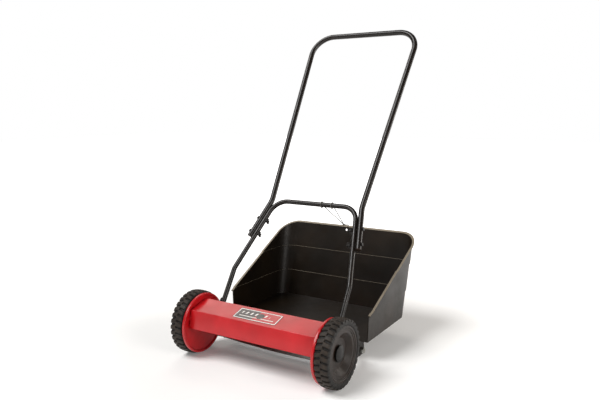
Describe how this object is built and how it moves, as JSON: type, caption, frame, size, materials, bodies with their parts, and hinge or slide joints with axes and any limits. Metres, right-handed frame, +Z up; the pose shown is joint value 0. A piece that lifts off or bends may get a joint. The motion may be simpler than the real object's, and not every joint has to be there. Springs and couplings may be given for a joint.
{
  "type": "reel mower",
  "caption": "Push reel mower with two lugged wheels, a red cover over a geared helical reel, a rear roller, a two-piece tube handle and a black scoop-shaped grass catcher.",
  "frame": {"origin": "on the ground below the middle of the whole machine", "axes": "+X across the machine to its right wheel as seen from the front, +Y from the front to the handle and catcher, +Z up"},
  "size_m": [0.56, 0.7964, 1.05],
  "materials": {
    "red_paint": "gloss red paint on pressed steel",
    "black_enamel": "gloss black enamel on steel",
    "zinc_steel": "bright zinc-plated steel",
    "blade_steel": "ground hardened steel",
    "gear_steel": "sintered steel",
    "bearing_iron": "machined cast iron",
    "tyre_rubber": "black moulded tyre, matt",
    "wheel_plastic": "black moulded plastic",
    "bush_nylon": "natural nylon",
    "roller_plastic": "black moulded plastic",
    "catcher_plastic": "black injection-moulded plastic with a faint grain",
    "label_vinyl": null
  },
  "bodies": {
    "chassis": {"side_plate_left": "red_paint", "side_plate_right": "red_paint", "stub_axle_left": "zinc_steel", "stub_axle_right": "zinc_steel", "reel_bearing_left": "bearing_iron", "reel_bearing_right": "bearing_iron", "rear_bracket_left": "black_enamel", "rear_bracket_right": "black_enamel", "bracket_bolts": "zinc_steel", "cover_plate": "red_paint", "cover_screws": "zinc_steel", "label_plate": "label_vinyl", "bed_bar": "black_enamel", "bed_knife": "blade_steel", "knife_screws": "zinc_steel", "bed_bar_bolts": "zinc_steel", "bed_bar_adjusters": "zinc_steel", "axle_washers": "zinc_steel", "axle_clips": "zinc_steel", "handle_pivot_bolts": "zinc_steel", "handle_pivot_nuts": "zinc_steel", "handle_stop_pins": "zinc_steel", "arm_bolts": "zinc_steel", "arm_wing_nuts": "zinc_steel", "catcher_rod": "zinc_steel", "catcher_rod_nuts": "zinc_steel"},
    "wheel_right": {"tyre_right": "tyre_rubber", "wheel_right": "wheel_plastic", "wheel_bush_right": "bush_nylon", "hub_cap_right": "wheel_plastic"},
    "wheel_left": {"tyre_left": "tyre_rubber", "wheel_left": "wheel_plastic", "wheel_bush_left": "bush_nylon", "hub_cap_left": "wheel_plastic"},
    "reel": {"reel_shaft": "blade_steel", "reel_blade_1": "blade_steel", "reel_blade_2": "blade_steel", "reel_blade_3": "blade_steel", "reel_blade_4": "blade_steel", "reel_blade_5": "blade_steel", "reel_spider_1": "black_enamel", "reel_spider_2": "black_enamel", "reel_spider_3": "black_enamel", "reel_spider_4": "black_enamel", "pinion_left": "gear_steel", "pinion_right": "gear_steel", "drive_pawls": "zinc_steel"},
    "roller_frame": {"roller_arm_left": "black_enamel", "roller_arm_right": "black_enamel", "roller_axle": "zinc_steel", "roller_axle_nuts": "zinc_steel"},
    "roller": {"rear_roller": "roller_plastic"},
    "handle": {"lower_handle": "black_enamel", "upper_handle": "black_enamel", "handle_bolts": "zinc_steel", "handle_wing_nuts": "zinc_steel", "handle_end_caps": "wheel_plastic"},
    "bail": {"bail_wire": "zinc_steel", "bail_hook": "zinc_steel"},
    "catcher": {"catcher": "catcher_plastic"}
  },
  "joints": [
    {"name": "wheel_right_spin", "type": "hinge", "parent": "chassis", "child": "wheel_right", "pos_m": [0, -0.29825, 0.1], "axis": [1, 0, 0], "continuous": true},
    {"name": "wheel_left_spin", "type": "hinge", "parent": "chassis", "child": "wheel_left", "pos_m": [0, -0.29825, 0.1], "axis": [1, 0, 0], "continuous": true},
    {"name": "reel_spin", "type": "hinge", "parent": "chassis", "child": "reel", "pos_m": [0, -0.25856, 0.095], "axis": [1, 0, 0], "continuous": true},
    {"name": "roller_height", "type": "hinge", "parent": "chassis", "child": "roller_frame", "pos_m": [0, -0.18625, 0.072], "axis": [1, 0, 0], "range_deg": [-10, 2]},
    {"name": "roller_spin", "type": "hinge", "parent": "roller_frame", "child": "roller", "pos_m": [0, -0.06825, 0.021], "axis": [1, 0, 0], "continuous": true},
    {"name": "handle_swing", "type": "hinge", "parent": "chassis", "child": "handle", "pos_m": [0, -0.22725, 0.12], "axis": [1, 0, 0], "range_deg": [0, 68]},
    {"name": "bail_swing", "type": "hinge", "parent": "handle", "child": "bail", "pos_m": [0, 0.01875, 0.457], "axis": [1, 0, 0], "range_deg": [0, 120]},
    {"name": "catcher_drop", "type": "hinge", "parent": "chassis", "child": "catcher", "pos_m": [0, -0.14825, 0.084], "axis": [1, 0, 0], "range_deg": [-4.5, 0]}
  ],
  "couplings": [
    {"joint": "wheel_left_spin", "follows": "wheel_right_spin", "ratio": 1},
    {"joint": "reel_spin", "follows": "wheel_right_spin", "ratio": 3.6667}
  ]
}
